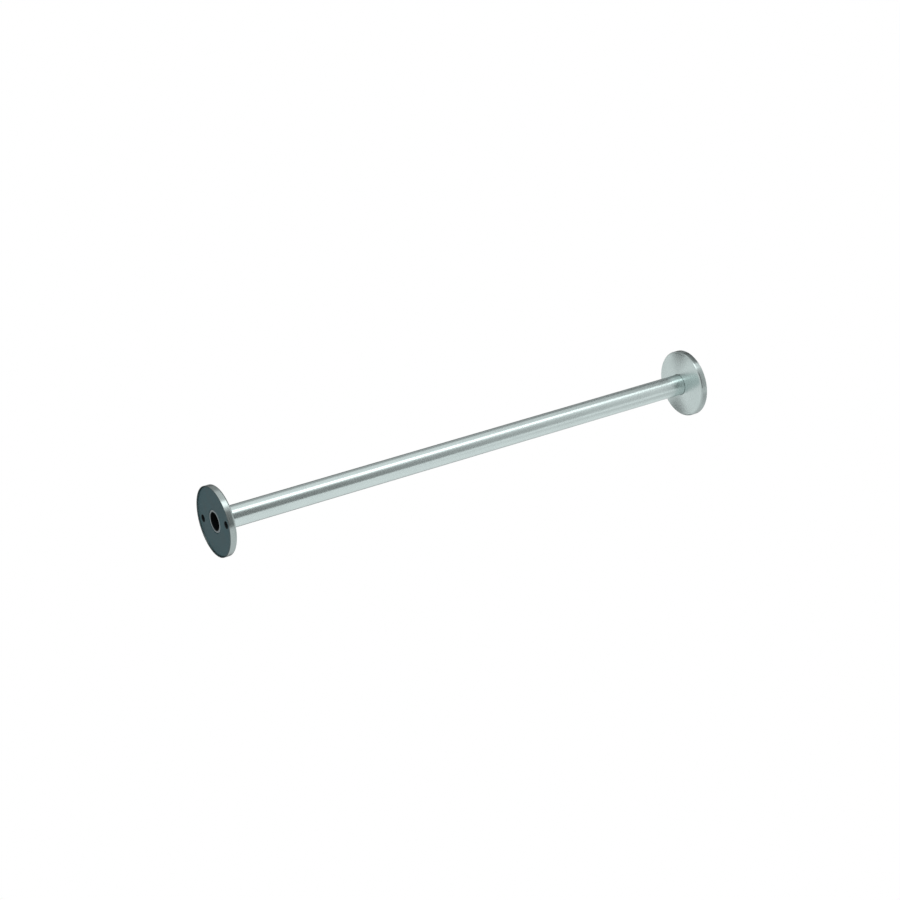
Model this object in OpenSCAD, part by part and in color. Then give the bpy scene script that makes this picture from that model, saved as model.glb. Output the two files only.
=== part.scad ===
// Straight shower curtain rod: a round tube between two wall plates, each hidden by a domed cover.
// The rod runs along X with its middle at the origin, and +Z is up.

/* [Rod] */
// Distance between the two walls, which is also that between the backs of the mounting plates
wall_span = 640; // [300:5:2400]
// Outside diameter of the rod tube
tube_d = 25; // [20:0.5:32]
// Wall of the rod tube
tube_wall = 1.2; // [0.8:0.1:2.5]
// Deburring chamfer round both edges of the tube's cut ends
tube_chamfer = 0.3; // [0.1:0.05:0.35]

/* [Covers] */
// Outside diameter of a cover
cover_d = 80; // [76:1:120]
// Thickness of the sheet that a cover is pressed from
cover_sheet = 0.8; // [0.6:0.1:1.4]
// Depth of a cover's rim, from its wall edge to where the dome would meet it without the bend
rim_depth = 8; // [7:0.1:14]
// Height of the full dome over the rim
dome_rise = 4.4; // [2:0.1:9]
// Outside radius of the bend between the rim and the dome
rim_bend_r = 2.4; // [1.6:0.1:3]
// Width of the broken edges at a cover's wall edge and round its hole
cover_edge_break = 0.2; // [0.05:0.05:0.25]

/* [Mounting plates] */
// Thickness of a mounting plate
plate_t = 6; // [3:0.1:6.5]
// Chamfer round the plate's back, towards the wall
plate_back_chamfer = 0.5; // [0.1:0.1:1]
// Diameter of the two screw holes
screw_hole_d = 8; // [4:0.1:8.5]
// Distance between the two screw holes
screw_spacing = 59; // [46:0.5:62]
// Countersink round both ends of a screw hole
screw_hole_chamfer = 0.4; // [0.1:0.1:0.8]

/* [Spigots] */
// Wall of a spigot
spigot_wall = 1.2; // [1:0.1:2.5]
// Length of a spigot inside the rod tube
spigot_reach = 38; // [15:1:80]
// Chamfer round the spigot's free end, which leads into the tube
spigot_chamfer = 0.8; // [0.2:0.1:0.9]
// How far the flared lip stands out from the spigot's outside
lip_width = 1.8; // [1:0.1:3]
// Rounding of the lip's outer edge
lip_edge_r = 0.7; // [0.2:0.1:0.9]
// How far the lip's face stays inside the plate's back
lip_inset = 0.2; // [0:0.1:0.6]

/* [Clearances] */
// Between the rod tube and the hole in a cover, all round
cover_tube_gap = 0.3; // [0.1:0.05:1]
// Between a cover's rim and the edge of its plate, all round
cover_plate_gap = 0.2; // [0.1:0.05:1]
// Between the front of a plate and the inside of its cover's dome, at the edge
cover_seat_gap = 0.3; // [0.1:0.05:1]
// Between a spigot and the rod tube, all round
spigot_tube_gap = 0.1; // [0.05:0.01:0.3]
// Between a spigot and the hole and recess that hold it in its plate
spigot_plate_gap = 0.05; // [0.02:0.01:0.1]
// Between the edge of the flared lip and the wall of its recess
lip_recess_gap = 0.3; // [0.1:0.05:0.6]

/* [Hidden] */
$fn = 160;

steel_color = "silver";
plate_color = "darkslategray";
spigot_color = "lightslategray";

// An end is drawn with its wall at height 0 and the rod rising along Z, and is then laid on its side.
half_span = wall_span / 2;
tube_r = tube_d / 2;
tube_bore_r = tube_r - tube_wall;
tube_len = wall_span - 2 * plate_t;

cover_r = cover_d / 2;
cover_hole_r = tube_r + cover_tube_gap;
dome_r = (pow(cover_r, 2) + pow(dome_rise, 2)) / (2 * dome_rise);
dome_centre_h = rim_depth + dome_rise - dome_r;

plate_r = cover_r - cover_sheet - cover_plate_gap;
// The plate's front edge is chamfered by as much as the inside of the cover's bend is rounded.
plate_front_chamfer = rim_bend_r - cover_sheet;
plate_seat_r = plate_r - plate_front_chamfer;
dome_inside_h = dome_centre_h + sqrt(pow(dome_r - cover_sheet, 2) - pow(plate_seat_r, 2));
// With the cover pushed on as far as it goes, its wall edge stands this far out past the plate's back.
cover_overhang = dome_inside_h - cover_seat_gap - plate_t;

spigot_r = tube_bore_r - spigot_tube_gap;
spigot_bore_r = spigot_r - spigot_wall;
spigot_top = plate_t + spigot_reach;
lip_r = spigot_r + lip_width;
lip_top = lip_inset + spigot_wall;
plate_bore_r = spigot_r + spigot_plate_gap;
lip_recess_r = lip_r + lip_recess_gap;
lip_recess_depth = lip_top + spigot_plate_gap;

// Overlap of a cutting shape past the face that it cuts
cut = 1;

// Half the section of a tube with all four of its edges chamfered
module tube_section(inner_r, outer_r, bottom, top, chamfer) {
    polygon([
        [inner_r + chamfer, bottom],
        [outer_r - chamfer, bottom],
        [outer_r, bottom + chamfer],
        [outer_r, top - chamfer],
        [outer_r - chamfer, top],
        [inner_r + chamfer, top],
        [inner_r, top - chamfer],
        [inner_r, bottom + chamfer]
    ]);
}

// Half the section of a filled dome on a straight rim, joined by a bend that is tangent to both
module dome_section(rim_r, sphere_r, bend_r, bottom) {
    bend_centre_r = rim_r - bend_r;
    bend_centre_h = dome_centre_h + sqrt(pow(sphere_r - bend_r, 2) - pow(bend_centre_r, 2));
    bend_start_r = bend_centre_r * sphere_r / (sphere_r - bend_r);
    translate([0, bottom]) square([rim_r, bend_centre_h - bottom]);
    translate([bend_centre_r, bend_centre_h]) circle(bend_r);
    intersection() {
        translate([0, dome_centre_h]) circle(sphere_r, $fn = 720);
        square([bend_start_r, sphere_r]);
    }
}

// The pressed sheet of a cover, with its wall edge at height 0
module cover_section() {
    inner_rim_r = cover_r - cover_sheet;
    hole_h = dome_centre_h + sqrt(pow(dome_r, 2) - pow(cover_hole_r, 2));
    difference() {
        dome_section(cover_r, dome_r, rim_bend_r, 0);
        dome_section(inner_rim_r, dome_r - cover_sheet, rim_bend_r - cover_sheet, -cut);
        translate([-cut, 0]) square([cover_hole_r + cut, hole_h + cut]);
        broken_edge(cover_r, 0);
        broken_edge(inner_rim_r, 0);
        broken_edge(cover_hole_r, hole_h);
    }
}

// A small square standing on its corner, which takes off the edge that lies at its centre
module broken_edge(edge_r, edge_h) {
    translate([edge_r, edge_h])
        rotate(45)
            square(cover_edge_break * sqrt(2), center = true);
}

module cover() {
    translate([0, 0, -cover_overhang])
        rotate_extrude()
            cover_section();
}

// A disc with a hole for the spigot, a recess for its lip and two screw holes in a line along Y
module mounting_plate() {
    difference() {
        rotate_extrude()
            polygon([
                [plate_bore_r, 0],
                [plate_r - plate_back_chamfer, 0],
                [plate_r, plate_back_chamfer],
                [plate_r, plate_t - plate_front_chamfer],
                [plate_seat_r, plate_t],
                [plate_bore_r, plate_t]
            ]);
        translate([0, 0, -cut]) cylinder(r = lip_recess_r, h = lip_recess_depth + cut);
        for (side = [-1, 1])
            translate([0, side * screw_spacing / 2, 0]) screw_hole();
    }
}

module screw_hole() {
    hole_r = screw_hole_d / 2;
    mouth_r = hole_r + screw_hole_chamfer;
    translate([0, 0, -cut]) cylinder(r = hole_r, h = plate_t + 2 * cut);
    translate([0, 0, -screw_hole_chamfer])
        cylinder(r1 = mouth_r + screw_hole_chamfer, r2 = hole_r, h = 2 * screw_hole_chamfer);
    translate([0, 0, plate_t - screw_hole_chamfer])
        cylinder(r1 = hole_r, r2 = mouth_r + screw_hole_chamfer, h = 2 * screw_hole_chamfer);
}

// A sleeve whose wall end is flared outwards into a lip, with a mouth rounded as wide as its wall
module spigot() {
    rotate_extrude()
        difference() {
            union() {
                polygon([
                    [spigot_bore_r, lip_inset],
                    [spigot_r, lip_inset],
                    [spigot_r, spigot_top - spigot_chamfer],
                    [spigot_r - spigot_chamfer, spigot_top],
                    [spigot_bore_r, spigot_top]
                ]);
                translate([spigot_bore_r, lip_inset])
                    square([lip_r - spigot_bore_r, spigot_wall]);
            }
            lower_rounding(spigot_bore_r, spigot_wall, 1);
            lower_rounding(lip_r, lip_edge_r, -1);
        }
}

// What a rounding takes off the lip's face at one edge; side is 1 where the metal lies further out
module lower_rounding(edge_r, radius, side) {
    translate([edge_r, lip_inset])
        scale([side, 1])
            difference() {
                translate([-cut, -cut]) square(radius + cut);
                translate([radius, radius]) circle(radius);
            }
}

// Draws the left end's pieces on their side, with the wall at the left end of the span.
module left_end() {
    translate([-half_span, 0, 0]) rotate([0, 90, 0]) children();
}

module right_end() {
    mirror([1, 0, 0]) left_end() children();
}

module rod_tube() {
    color(steel_color)
        left_end()
            rotate_extrude()
                tube_section(tube_bore_r, tube_r, plate_t, plate_t + tube_len, tube_chamfer);
}

module left_mounting_plate() { color(plate_color) left_end() mounting_plate(); }
module right_mounting_plate() { color(plate_color) right_end() mounting_plate(); }
module left_spigot() { color(spigot_color) left_end() spigot(); }
module right_spigot() { color(spigot_color) right_end() spigot(); }
module left_cover() { color(steel_color) left_end() cover(); }
module right_cover() { color(steel_color) right_end() cover(); }

rod_tube();
left_mounting_plate();
right_mounting_plate();
left_spigot();
right_spigot();
left_cover();
right_cover();
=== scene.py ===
import math

import bpy
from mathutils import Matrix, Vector


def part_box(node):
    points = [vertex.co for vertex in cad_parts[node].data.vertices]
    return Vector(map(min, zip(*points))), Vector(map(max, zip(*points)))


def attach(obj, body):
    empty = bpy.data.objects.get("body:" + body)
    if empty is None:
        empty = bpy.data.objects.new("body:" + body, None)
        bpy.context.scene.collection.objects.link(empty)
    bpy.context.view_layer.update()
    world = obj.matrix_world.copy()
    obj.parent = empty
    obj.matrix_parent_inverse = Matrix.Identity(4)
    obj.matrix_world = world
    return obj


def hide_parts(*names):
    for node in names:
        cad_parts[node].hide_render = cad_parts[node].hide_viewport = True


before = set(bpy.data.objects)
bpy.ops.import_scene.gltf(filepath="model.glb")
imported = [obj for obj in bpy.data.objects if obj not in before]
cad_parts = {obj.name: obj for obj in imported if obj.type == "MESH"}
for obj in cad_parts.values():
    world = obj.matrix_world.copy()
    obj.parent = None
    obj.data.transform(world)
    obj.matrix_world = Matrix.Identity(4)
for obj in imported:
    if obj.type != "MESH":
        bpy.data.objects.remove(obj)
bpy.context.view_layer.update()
bpy.context.scene.view_settings.view_transform = "Standard"
print("frame loaded:", ", ".join(sorted(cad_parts)))


# the photograph's view: from behind the left end, a little above it, with the camera tilted to one side

cameraSetup = {
    "place": (-1.1370, -1.9819, 0.4813),
    "turn": (77.939, 9.583, -31.434),  # degrees
    "focalLength": 81.66,  # mm
    "sensorWidth": 36.0,  # mm
}


def addCamera():
    turn = [math.radians(angle) for angle in cameraSetup["turn"]]
    bpy.ops.object.camera_add(location=cameraSetup["place"], rotation=turn)
    camera = bpy.context.object
    camera.name = "rodCamera"
    camera.data.lens = cameraSetup["focalLength"]
    camera.data.sensor_width = cameraSetup["sensorWidth"]
    bpy.context.scene.camera = camera


# the studio: white all round, with a lamp over the rod, and grey cards that the satin steel mirrors

studio = {
    "tableHeight": -1.7,  # low enough for its shadow to fade away, as in the photograph
    "tableRadius": 5.2,
    "lampPlace": (-0.075, -1.55, 2.5),
    "lampSize": (4.95, 1.0),
    "lampBrightness": 1.75,  # the white room is 1
}

# name, middle, width, height, tilt from upright in degrees, brightness
greyCards = (
    ("cardBehindCamera", (0.15, -3.6, 0.72), 2.3, 3.75, 0, 0.16),
    ("paleCardBehindCamera", (1.85, -3.6, 0.72), 1.1, 3.75, 0, 0.26),
    ("paleCardBehindRod", (0.0, 3.6, 4.9), 14.0, 6.0, 0, 0.5),
    ("darkCardBehindLeft", (-2.9, 3.55, 1.05), 2.2, 1.7, 0, 0.08),
    ("darkCardBehindRight", (2.4, 3.55, 1.05), 3.4, 1.7, 0, 0.2),
    ("greyCardOnTable", (0.4, 3.0, -1.69), 2.8, 3.2, 90, 0.45),
    ("darkCardOnTable", (-1.55, 4.1, -1.69), 1.1, 1.8, 90, 0.02),
    ("greyCardAtFront", (2.3, -1.0, -1.69), 1.8, 1.8, 90, 0.7),
    ("darkCardOverRightEnd", (4.3, 0.35, 3.0), 4.0, 5.1, 90, 0.1),
    ("darkCardByRightCover", (0.63, 0.03, 0.3), 0.32, 0.34, 90, 0.02),
)


def addLamp():
    place = Vector(studio["lampPlace"])
    width, height = studio["lampSize"]
    bpy.ops.object.light_add(type="AREA", location=place)
    lamp = bpy.context.object
    lamp.name = "lampOverRod"
    lamp.data.shape = "RECTANGLE"
    lamp.data.size = width
    lamp.data.size_y = height
    lamp.data.energy = studio["lampBrightness"] * math.pi * width * height
    lamp.rotation_euler = (math.atan2(-place.y, place.z), 0, 0)  # its long side stays along the rod
    lamp.visible_camera = False


def addRoom():
    room = bpy.data.worlds.new("whiteRoom")
    room.use_nodes = True
    wall = room.node_tree.nodes["Background"]
    wall.inputs["Color"].default_value = (1, 1, 1, 1)
    wall.inputs["Strength"].default_value = 1
    bpy.context.scene.world = room


def addTable():
    bpy.ops.mesh.primitive_circle_add(
        vertices=128, radius=studio["tableRadius"], fill_type="NGON",
        location=(0, 0, studio["tableHeight"]),
    )
    table = bpy.context.object
    table.name = "whiteTable"
    material = bpy.data.materials.new("whiteTableTop")
    material.use_nodes = True
    tree = material.node_tree
    paint = tree.nodes["Principled BSDF"]
    paint.inputs["Base Color"].default_value = (0.86, 0.86, 0.86, 1)
    paint.inputs["Roughness"].default_value = 0.9
    white = tree.nodes.new("ShaderNodeEmission")
    rays = tree.nodes.new("ShaderNodeLightPath")
    seen = tree.nodes.new("ShaderNodeMath")
    seen.operation = "ADD"
    tree.links.new(rays.outputs["Is Camera Ray"], seen.inputs[0])
    tree.links.new(rays.outputs["Is Glossy Ray"], seen.inputs[1])
    through = tree.nodes.new("ShaderNodeMath")
    through.operation = "ADD"
    through.use_clamp = True
    tree.links.new(seen.outputs[0], through.inputs[0])
    tree.links.new(rays.outputs["Is Transmission Ray"], through.inputs[1])
    pick = tree.nodes.new("ShaderNodeMixShader")
    tree.links.new(through.outputs[0], pick.inputs["Fac"])
    tree.links.new(paint.outputs[0], pick.inputs[1])
    tree.links.new(white.outputs[0], pick.inputs[2])
    tree.links.new(pick.outputs[0], tree.nodes["Material Output"].inputs["Surface"])
    table.data.materials.append(material)


def addCard(name, middle, width, height, tilt, brightness):
    bpy.ops.mesh.primitive_plane_add(size=1, location=middle, rotation=(math.radians(90 - tilt), 0, 0))
    card = bpy.context.object
    card.name = name
    card.scale = (width, height, 1)
    card.visible_camera = False
    material = bpy.data.materials.new(name)
    material.use_nodes = True
    tree = material.node_tree
    tree.nodes.remove(tree.nodes["Principled BSDF"])
    glow = tree.nodes.new("ShaderNodeEmission")
    glow.inputs["Strength"].default_value = brightness
    tree.links.new(glow.outputs[0], tree.nodes["Material Output"].inputs["Surface"])
    card.data.materials.append(material)


addCamera()
addRoom()
addTable()
addLamp()
for card in greyCards:
    addCard(*card)
print("camera, lamp, table and cards are in place")


# materials: steel ground and brushed in fine rings, a matt coating, and bare turned metal

def newMaterial(name):
    material = bpy.data.materials.new(name)
    material.use_nodes = True
    return material, material.node_tree, material.node_tree.nodes["Principled BSDF"]


def connect(tree, value, socket):
    if isinstance(value, bpy.types.NodeSocket):
        tree.links.new(value, socket)
    else:
        socket.default_value = value


def calculate(tree, operation, first, second=0.0):
    node = tree.nodes.new("ShaderNodeMath")
    node.operation = operation
    connect(tree, first, node.inputs[0])
    connect(tree, second, node.inputs[1])
    return node.outputs[0]


def combine(tree, x, y, z):
    node = tree.nodes.new("ShaderNodeCombineXYZ")
    for socket, value in zip(node.inputs, (x, y, z)):
        connect(tree, value, socket)
    return node.outputs[0]


def noise(tree, vector, scale, detail, roughness=0.5):
    node = tree.nodes.new("ShaderNodeTexNoise")
    node.inputs["Scale"].default_value = scale
    node.inputs["Detail"].default_value = detail
    node.inputs["Roughness"].default_value = roughness
    tree.links.new(vector, node.inputs["Vector"])
    return node.outputs[0]


def spread(tree, value, low, high, start=0.25, end=0.75):
    node = tree.nodes.new("ShaderNodeMapRange")
    tree.links.new(value, node.inputs["Value"])
    node.inputs["From Min"].default_value = start
    node.inputs["From Max"].default_value = end
    node.inputs["To Min"].default_value = low
    node.inputs["To Max"].default_value = high
    return node.outputs[0]


def blendColours(tree, amount, first, second):
    node = tree.nodes.new("ShaderNodeMix")
    node.data_type = "RGBA"
    connect(tree, amount, node.inputs[0])
    for socket, colour in ((node.inputs[6], first), (node.inputs[7], second)):
        connect(tree, colour if isinstance(colour, bpy.types.NodeSocket) else (*colour, 1), socket)
    return node.outputs[2]


def scaled(colour, amount):
    return tuple(min(part * amount, 1) for part in colour)


def addBump(tree, shader, height, strength, distance):
    node = tree.nodes.new("ShaderNodeBump")
    node.inputs["Strength"].default_value = strength
    node.inputs["Distance"].default_value = distance
    tree.links.new(height, node.inputs["Height"])
    tree.links.new(node.outputs[0], shader.inputs["Normal"])


def roundTheRod(tree):
    # place, distance from the rod's axis and the outward direction, all from the piece's own coordinates
    place = tree.nodes.new("ShaderNodeTexCoord").outputs["Object"]
    parts = tree.nodes.new("ShaderNodeSeparateXYZ")
    tree.links.new(place, parts.inputs[0])
    x, y, z = parts.outputs
    radius = calculate(tree, "SQRT", calculate(
        tree, "ADD", calculate(tree, "MULTIPLY", y, y), calculate(tree, "MULTIPLY", z, z)))
    return place, x, radius, calculate(tree, "DIVIDE", y, radius), calculate(tree, "DIVIDE", z, radius)


def ringGrain(tree, along, outY, outZ, fineness, length):
    # fine lines that run round the rod: quick to change along the section, slow to change round it
    vector = combine(
        tree, calculate(tree, "MULTIPLY", along, fineness),
        calculate(tree, "MULTIPLY", outY, length), calculate(tree, "MULTIPLY", outZ, length))
    return noise(tree, vector, 1.0, 4.0, 0.6)


def steelSurface(tree, shader, finish, grain, cloud):
    light = blendColours(
        tree, spread(tree, grain, 0, 1), scaled(finish["colour"], 1 - finish["contrast"]),
        scaled(finish["colour"], 1 + finish["contrast"]))
    clouded = blendColours(tree, spread(tree, cloud, 0, finish["cloudiness"]), light, finish["cloudColour"])
    rough = calculate(
        tree, "ADD", spread(tree, grain, finish["roughness"] - 0.03, finish["roughness"] + 0.03),
        spread(tree, cloud, -0.02, 0.03))
    shader.inputs["Metallic"].default_value = 1
    shader.inputs["Anisotropic"].default_value = finish["stretch"]
    shader.inputs["Specular Tint"].default_value = (finish["edge"], finish["edge"], finish["edge"], 1)
    addBump(tree, shader, grain, finish["bump"], 0.00003)
    return clouded, rough


tubeFinish = {
    "colour": (0.60, 0.69, 0.68),
    "edge": 0.8,  # brightness at a glancing angle
    "roughness": 0.26,
    "stretch": 0.5,
    "contrast": 0.035,
    "cloudColour": (0.52, 0.60, 0.60),
    "cloudiness": 0.25,
    "bump": 0.05,
    "borePaintedShade": (0.20, 0.22, 0.22),
    "boreStart": 0.0119,  # inside this distance from the axis the bore gets painted shade: darker, rougher steel
}

coverFinish = {
    "colour": (0.54, 0.62, 0.61),
    "edge": 0.75,
    "roughness": 0.27,
    "stretch": 0.6,
    "contrast": 0.05,
    "cloudColour": (0.46, 0.54, 0.53),
    "cloudiness": 0.3,
    "bump": 0.2,
    "cutEdgePaintedShade": (0.10, 0.12, 0.12),  # painted shade on the sheet's cut edge, which lies against the wall
    "cutWidth": 0.0002,
    "rimPaintedShade": 0.72,  # painted shade: the rim's colour is darkened, so it looks darker than the dome
    "rimBlend": (0.0380, 0.0398),
}

coatingFinish = {
    "colour": (0.026, 0.062, 0.071),
    "roughness": 0.6,
    "shine": 0.25,
    "grainSize": 0.0007,
    "unevenness": 0.16,
    "bump": 0.25,
    "holePaintedShade": (0.004, 0.006, 0.007),  # painted shade on the screw holes' walls, coloured near black
    "holePlace": 0.0295,
    "holeRadius": (0.0042, 0.0046),
}

bareFinish = {
    "colour": (0.26, 0.30, 0.31),
    "edge": 0.6,
    "roughness": 0.45,
    "stretch": 0.3,
    "contrast": 0.1,
    "cloudColour": (0.20, 0.23, 0.24),
    "cloudiness": 0.5,
    "bump": 0.3,
    "spigotBorePaintedShade": (0.010, 0.012, 0.013),  # painted shade in the bore, coloured near black
    "spigotBoreShadeRadius": (0.0103, 0.0109),
}


def makeSatinTube():
    material, tree, shader = newMaterial("satinTube")
    place, x, radius, outY, outZ = roundTheRod(tree)
    grain = ringGrain(tree, x, outY, outZ, 1500, 2.5)
    cloud = noise(tree, place, 45, 3)
    colour, rough = steelSurface(tree, shader, tubeFinish, grain, cloud)
    # painted shade: inside the bore the steel's colour is darkened and made rougher
    outside = calculate(tree, "GREATER_THAN", radius, tubeFinish["boreStart"])
    tree.links.new(blendColours(tree, outside, tubeFinish["borePaintedShade"], colour), shader.inputs["Base Color"])
    tree.links.new(calculate(tree, "ADD", rough, spread(tree, outside, 0.25, 0, 0, 1)), shader.inputs["Roughness"])
    tree.links.new(combine(tree, 1, 0, 0), shader.inputs["Tangent"])
    return material


def makeSatinCover():
    material, tree, shader = newMaterial("satinCover")
    place, x, radius, outY, outZ = roundTheRod(tree)
    depth = calculate(tree, "ABSOLUTE", x)
    grain = ringGrain(tree, calculate(tree, "ADD", depth, radius), outY, outZ, 1300, 3)
    cloud = noise(tree, place, 60, 3)
    colour, rough = steelSurface(tree, shader, coverFinish, grain, cloud)
    cutPlace = abs(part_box("left_cover")[0].x) - coverFinish["cutWidth"]
    # painted shade: the cut edge against the wall is coloured near black
    cut = calculate(tree, "GREATER_THAN", depth, cutPlace)
    # painted shade: the colour is darkened towards the rim
    shade = spread(tree, radius, 1, coverFinish["rimPaintedShade"], *coverFinish["rimBlend"])
    shaded = blendColours(tree, shade, (0, 0, 0), colour)
    tree.links.new(blendColours(tree, cut, shaded, coverFinish["cutEdgePaintedShade"]), shader.inputs["Base Color"])
    tree.links.new(calculate(tree, "ADD", rough, spread(tree, cut, 0, 0.3, 0, 1)), shader.inputs["Roughness"])
    # across the rings on the rim, the bend and the dome alike
    tree.links.new(combine(tree, calculate(tree, "SIGN", x), outY, outZ), shader.inputs["Tangent"])
    return material


def makeDarkPlate():
    material, tree, shader = newMaterial("darkPlate")
    place, x, radius, outY, outZ = roundTheRod(tree)
    grain = noise(tree, place, 1 / coatingFinish["grainSize"], 2)
    cloud = noise(tree, place, 70, 3)
    base = coatingFinish["colour"]
    uneven = coatingFinish["unevenness"]
    broad = blendColours(tree, spread(tree, cloud, 0, 1), scaled(base, 1 - uneven), scaled(base, 1 + uneven))
    fine = blendColours(tree, spread(tree, grain, 0, 0.12), broad, scaled(base, 2.2))
    # distance from the nearer screw hole's middle, which lies to one side along Y
    aside = calculate(tree, "SUBTRACT", calculate(tree, "ABSOLUTE", calculate(tree, "MULTIPLY", outY, radius)),
                      coatingFinish["holePlace"])
    up = calculate(tree, "MULTIPLY", outZ, radius)
    fromHole = calculate(tree, "SQRT", calculate(
        tree, "ADD", calculate(tree, "MULTIPLY", aside, aside), calculate(tree, "MULTIPLY", up, up)))
    # painted shade: the screw holes' walls are coloured near black
    clearOfHoleShade = spread(tree, fromHole, 0, 1, *coatingFinish["holeRadius"])
    tree.links.new(blendColours(tree, clearOfHoleShade, coatingFinish["holePaintedShade"], fine), shader.inputs["Base Color"])
    tree.links.new(
        spread(tree, cloud, coatingFinish["roughness"] - 0.05, coatingFinish["roughness"] + 0.05),
        shader.inputs["Roughness"])
    shader.inputs["Specular IOR Level"].default_value = coatingFinish["shine"]
    addBump(tree, shader, grain, coatingFinish["bump"], 0.00006)
    return material


def makeBareSteel():
    material, tree, shader = newMaterial("bareSteel")
    place, x, radius, outY, outZ = roundTheRod(tree)
    depth = calculate(tree, "ABSOLUTE", x)
    grain = ringGrain(tree, calculate(tree, "ADD", depth, radius), outY, outZ, 900, 2)
    cloud = noise(tree, place, 120, 2)
    colour, rough = steelSurface(tree, shader, bareFinish, grain, cloud)
    # painted shade: the bore is coloured near black and made rougher
    clearOfBoreShade = spread(tree, radius, 0, 1, *bareFinish["spigotBoreShadeRadius"])
    tree.links.new(blendColours(tree, clearOfBoreShade, bareFinish["spigotBorePaintedShade"], colour), shader.inputs["Base Color"])
    tree.links.new(calculate(tree, "ADD", rough, spread(tree, clearOfBoreShade, 0.25, 0, 0, 1)), shader.inputs["Roughness"])
    tree.links.new(combine(tree, calculate(tree, "SIGN", x), outY, outZ), shader.inputs["Tangent"])
    return material


satinTube = makeSatinTube()
satinCover = makeSatinCover()
darkPlate = makeDarkPlate()
bareSteel = makeBareSteel()
print("materials are ready")


# turned pieces: a section of points (x, radius) is drawn vertex by vertex and spun round the rod's axis

def roundedSection(corners, steps=5):
    # a corner is (x, radius, rounding); extra points beside each rounding keep the straight runs flat
    section = []
    for index, (x, radius, rounding) in enumerate(corners):
        corner = Vector((x, radius))
        if not rounding:
            section.append(corner)
            continue
        back = (Vector(corners[index - 1][:2]) - corner).normalized()
        ahead = (Vector(corners[(index + 1) % len(corners)][:2]) - corner).normalized()
        half = back.angle(ahead) / 2
        centre = corner + (back + ahead).normalized() * rounding / math.sin(half)
        reach = rounding / math.tan(half)
        start, end = corner + back * reach - centre, corner + ahead * reach - centre
        section.append(centre + start + back * rounding * 0.3)
        section.extend(centre + start.slerp(end, step / steps) * rounding for step in range(steps + 1))
        section.append(centre + end + ahead * rounding * 0.3)
    return section


def spinPiece(name, section, segments=192):
    bpy.ops.object.select_all(action="DESELECT")
    bpy.ops.mesh.primitive_plane_add(size=0.001)
    piece = bpy.context.object
    piece.name = name
    bpy.ops.object.mode_set(mode="EDIT")
    bpy.ops.mesh.select_all(action="SELECT")
    bpy.ops.mesh.merge(type="CENTER")
    bpy.ops.transform.translate(value=(section[0].x, 0, section[0].y))
    for last, point in zip(section, section[1:] + section[:1]):
        step = point - last
        bpy.ops.mesh.extrude_region_move(TRANSFORM_OT_translate={"value": (step.x, 0, step.y)})
    bpy.ops.mesh.select_all(action="SELECT")
    bpy.ops.mesh.remove_doubles(threshold=1e-6)
    bpy.ops.mesh.select_all(action="SELECT")
    bpy.ops.mesh.spin(steps=segments, angle=math.tau, center=(0, 0, 0), axis=(1, 0, 0))
    bpy.ops.mesh.select_all(action="SELECT")
    bpy.ops.mesh.remove_doubles(threshold=1e-6)
    bpy.ops.mesh.normals_make_consistent(inside=False)
    bpy.ops.object.mode_set(mode="OBJECT")
    return piece


def finishPiece(piece, material, body, node):
    bpy.ops.object.select_all(action="DESELECT")
    piece.select_set(True)
    bpy.context.view_layer.objects.active = piece
    bpy.ops.object.shade_smooth_by_angle(angle=math.radians(30))
    piece.data.materials.clear()
    piece.data.materials.append(material)
    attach(piece, body)
    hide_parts(node)


def mirroredCopy(piece, name):
    bpy.ops.object.select_all(action="DESELECT")
    piece.select_set(True)
    bpy.context.view_layer.objects.active = piece
    bpy.ops.object.duplicate(linked=False)
    copy = bpy.context.object
    copy.name = name
    bpy.ops.object.mode_set(mode="EDIT")
    bpy.ops.mesh.select_all(action="SELECT")
    bpy.ops.transform.resize(value=(-1, 1, 1), center_override=(0, 0, 0))
    bpy.ops.mesh.normals_make_consistent(inside=False)
    bpy.ops.object.mode_set(mode="OBJECT")
    return copy


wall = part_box("left_mounting_plate")[0].x  # the left wall's place along the rod

# the tube, with both ends deburred

tube = {
    "outside": 0.0125,
    "bore": 0.0113,
    "deburr": 0.0003,
    "end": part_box("rod_tube")[1].x,
}


def buildTube():
    corners = [
        (-tube["end"], tube["outside"], tube["deburr"]),
        (tube["end"], tube["outside"], tube["deburr"]),
        (tube["end"], tube["bore"], tube["deburr"]),
        (-tube["end"], tube["bore"], tube["deburr"]),
    ]
    piece = spinPiece("tube", roundedSection(corners))
    finishPiece(piece, satinTube, "rod", "rod_tube")


buildTube()
print("tube done")

# a cover, pressed from sheet: a straight rim, a bend and a shallow dome with a hole for the tube

cover = {
    "rim": 0.040,
    "sheet": 0.0008,
    "rimDepth": 0.0080,  # from the wall edge to where the dome would meet the rim
    "domeRise": 0.0044,
    "bend": 0.0024,
    "hole": 0.0128,
    "edge": 0.0002,
    "wallEdge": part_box("left_cover")[0].x,
}


def arcPoints(centre, radius, start, end, steps):
    # angles are from straight outwards (0) to straight along the rod (90 degrees)
    angles = [start + (end - start) * step / steps for step in range(steps + 1)]
    return [(centre[0] + radius * math.sin(a), centre[1] + radius * math.cos(a), 0) for a in angles]


def coverSide(rim, dome, domeCentre, bend):
    bendRing = rim - bend
    bendPlace = domeCentre + math.sqrt((dome - bend) ** 2 - bendRing ** 2)
    turn = math.acos(bendRing / (dome - bend))
    bendPoints = arcPoints((bendPlace, bendRing), bend, 0, turn, 8)
    holeTurn = math.acos(cover["hole"] / dome)
    domePoints = arcPoints((domeCentre, 0), dome, turn, holeTurn, 24)
    return bendPoints + domePoints[1:]


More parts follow.
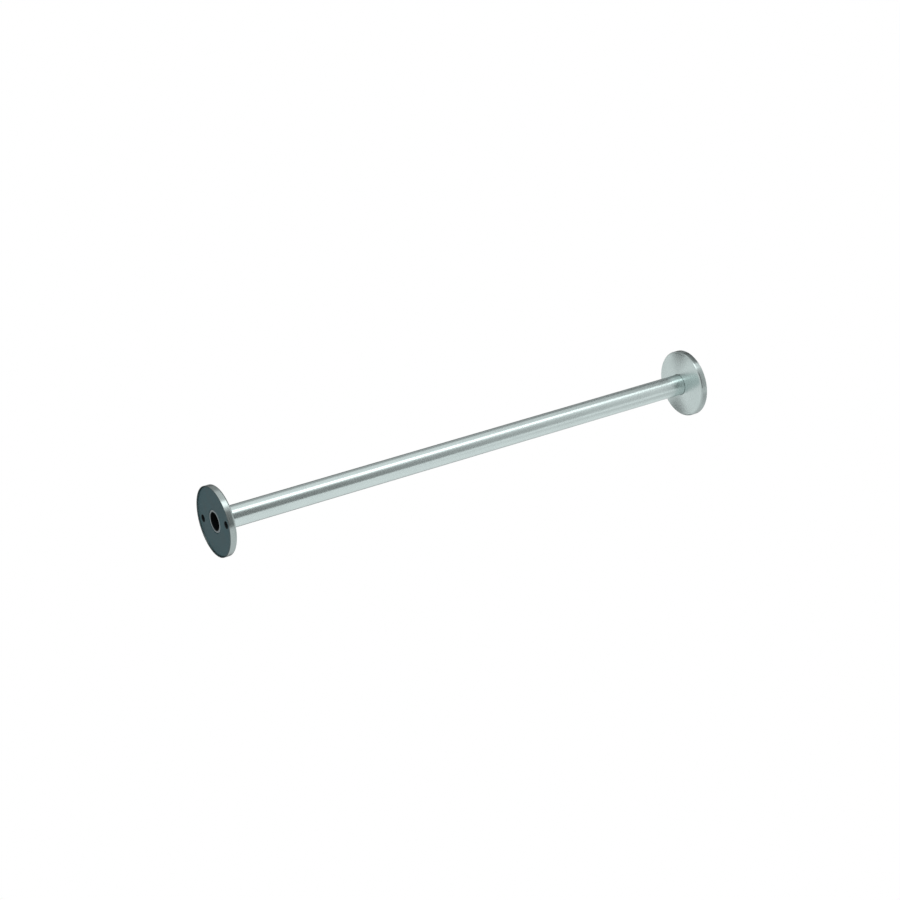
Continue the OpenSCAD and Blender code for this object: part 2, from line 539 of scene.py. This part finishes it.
def buildCovers():
    rise, rim, sheet = cover["domeRise"], cover["rim"], cover["sheet"]
    dome = (rim ** 2 + rise ** 2) / (2 * rise)
    domeCentre = cover["wallEdge"] + cover["rimDepth"] + rise - dome
    outside = coverSide(rim, dome, domeCentre, cover["bend"])
    inside = coverSide(rim - sheet, dome - sheet, domeCentre, cover["bend"] - sheet)
    outside[-1] = (*outside[-1][:2], cover["edge"])
    inside[-1] = (*inside[-1][:2], cover["edge"])
    corners = [(cover["wallEdge"], rim, cover["edge"])] + outside + inside[::-1]
    corners.append((cover["wallEdge"], rim - sheet, cover["edge"]))
    left = spinPiece("leftCover", roundedSection(corners))
    right = mirroredCopy(left, "rightCover")
    finishPiece(left, satinCover, "left_cover", "left_cover")
    finishPiece(right, satinCover, "right_cover", "right_cover")


buildCovers()
print("covers done")

# a mounting plate: a thick disc with a recess for the spigot's lip and two screw holes

plate = {
    "rim": 0.0390,
    "thickness": 0.006,
    "backChamfer": 0.0005,
    "frontChamfer": 0.0016,
    "bore": 0.01125,
    "recess": 0.0133,
    "recessDepth": 0.00145,
    "edge": 0.00015,
    "screwHole": 0.0040,
    "screwPlace": 0.0295,  # each side of the middle, along Y
    "screwChamfer": 0.0004,
}


def buildPlates():
    front = wall + plate["thickness"]
    edge = plate["edge"]
    corners = [
        (wall, plate["recess"], edge),
        (wall, plate["rim"] - plate["backChamfer"], edge),
        (wall + plate["backChamfer"], plate["rim"], edge),
        (front - plate["frontChamfer"], plate["rim"], edge),
        (front, plate["rim"] - plate["frontChamfer"], edge),
        (front, plate["bore"], edge),
        (wall + plate["recessDepth"], plate["bore"], 0),
        (wall + plate["recessDepth"], plate["recess"], 0),
    ]
    left = spinPiece("leftPlate", roundedSection(corners, steps=3))
    mouth = plate["screwHole"] + plate["screwChamfer"]
    cutterCorners = [
        (wall - 0.001, 0.0001, 0),
        (wall - 0.001, mouth + 0.001, 0),
        (wall + plate["screwChamfer"], plate["screwHole"], 0),
        (front - plate["screwChamfer"], plate["screwHole"], 0),
        (front + 0.001, mouth + 0.001, 0),
        (front + 0.001, 0.0001, 0),
    ]
    for side in (-1, 1):
        cutter = spinPiece("screwHoleCutter", roundedSection(cutterCorners), segments=64)
        cutter.location.y = side * plate["screwPlace"]
        bpy.ops.object.select_all(action="DESELECT")
        left.select_set(True)
        bpy.context.view_layer.objects.active = left
        drill = left.modifiers.new("screwHole", "BOOLEAN")
        drill.object = cutter
        drill.solver = "EXACT"
        bpy.ops.object.modifier_apply(modifier=drill.name)
        bpy.data.objects.remove(cutter)
    right = mirroredCopy(left, "rightPlate")
    finishPiece(left, darkPlate, "rod", "left_mounting_plate")
    finishPiece(right, darkPlate, "rod", "right_mounting_plate")


buildPlates()
print("mounting plates done")

# a spigot: a sleeve inside the tube, with its wall end flared into a lip

spigot = {
    "outside": 0.0112,
    "bore": 0.0100,
    "lip": 0.0130,
    "lipFace": 0.0002,  # inside the plate's back
    "lipBack": 0.0014,
    "lipEdge": 0.0007,
    "mouth": 0.0012,
    "end": 0.044,
    "endChamfer": 0.0008,
}


def buildSpigots():
    corners = [
        (wall + spigot["lipFace"], spigot["bore"], spigot["mouth"]),
        (wall + spigot["lipFace"], spigot["lip"], spigot["lipEdge"]),
        (wall + spigot["lipBack"], spigot["lip"], 0.0002),
        (wall + spigot["lipBack"], spigot["outside"], 0),
        (wall + spigot["end"] - spigot["endChamfer"], spigot["outside"], 0.0001),
        (wall + spigot["end"], spigot["outside"] - spigot["endChamfer"], 0.0001),
        (wall + spigot["end"], spigot["bore"], 0.0002),
    ]
    left = spinPiece("leftSpigot", roundedSection(corners, steps=6))
    right = mirroredCopy(left, "rightSpigot")
    finishPiece(left, bareSteel, "rod", "left_spigot")
    finishPiece(right, bareSteel, "rod", "right_spigot")


buildSpigots()
print("spigots done")
